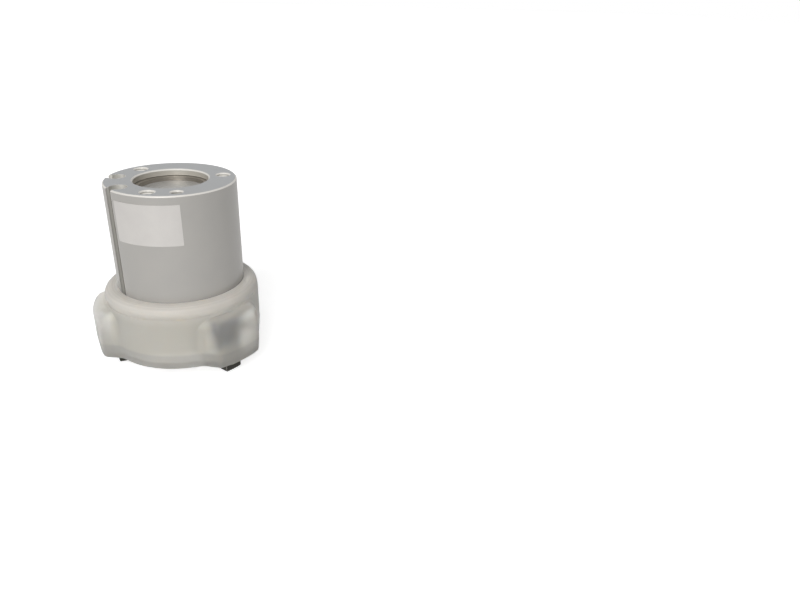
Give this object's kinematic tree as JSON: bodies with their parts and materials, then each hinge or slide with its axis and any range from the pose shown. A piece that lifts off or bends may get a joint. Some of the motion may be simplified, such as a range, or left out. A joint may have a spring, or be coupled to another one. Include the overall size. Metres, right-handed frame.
{
  "type": "three-finger pneumatic gripper",
  "caption": "Round pneumatic gripper with parallel radial fingers, a wedge-cam piston inside and a lobed silicone dust cover.",
  "frame": {"origin": "centre of the mounting face", "axes": "+Z out of the mounting face along the body's axis, -X along the first finger"},
  "size_m": [0.0399, 0.0416, 0.0454],
  "materials": {
    "housing_aluminium": "hard anodised, satin",
    "cover_aluminium": "clear anodised",
    "piston_aluminium": "turned",
    "ring_steel": "phosphated",
    "bolt_steel": "stainless",
    "plate_steel": "stainless sheet",
    "cam_steel": "hardened and ground",
    "finger_steel": "hardened, blackened",
    "bush_bronze": "sintered",
    "seal_rubber": "nitrile rubber",
    "magnet_rubber": "magnet-filled rubber",
    "cover_silicone": "moulded translucent silicone"
  },
  "bodies": {
    "housing": {"body": "housing_aluminium", "head_cover": "cover_aluminium", "head_cover_seal": "seal_rubber", "retaining_ring": "ring_steel", "rod_bush": "bush_bronze", "rod_seal": "seal_rubber", "seal_washer": "ring_steel", "end_plate": "plate_steel", "end_plate_screws": "bolt_steel", "dust_cover": "cover_silicone"},
    "piston": {"piston": "piston_aluminium", "piston_seal": "seal_rubber", "magnet_ring": "magnet_rubber", "cam_bolt": "bolt_steel", "cam": "cam_steel", "stem_seal": "seal_rubber"},
    "finger_1": {"finger_1": "finger_steel", "cover_lip_1": "cover_silicone"},
    "finger_2": {"finger_2": "finger_steel", "cover_lip_2": "cover_silicone"},
    "finger_3": {"finger_3": "finger_steel", "cover_lip_3": "cover_silicone"}
  },
  "joints": [
    {"name": "piston_stroke", "type": "slide", "parent": "housing", "child": "piston", "axis": [0, 0, 1], "range_m": [-0.002, 0.002]},
    {"name": "finger_1_slide", "type": "slide", "parent": "housing", "child": "finger_1", "axis": [-1, 0, 0], "range_m": [-0.001, 0.001]},
    {"name": "finger_2_slide", "type": "slide", "parent": "housing", "child": "finger_2", "axis": [0.5, -0.866, 0], "range_m": [-0.001, 0.001]},
    {"name": "finger_3_slide", "type": "slide", "parent": "housing", "child": "finger_3", "axis": [0.5, 0.866, 0], "range_m": [-0.001, 0.001]}
  ],
  "couplings": [
    {"joint": "finger_1_slide", "follows": "piston_stroke", "ratio": -0.5},
    {"joint": "finger_2_slide", "follows": "piston_stroke", "ratio": -0.5},
    {"joint": "finger_3_slide", "follows": "piston_stroke", "ratio": -0.5}
  ]
}
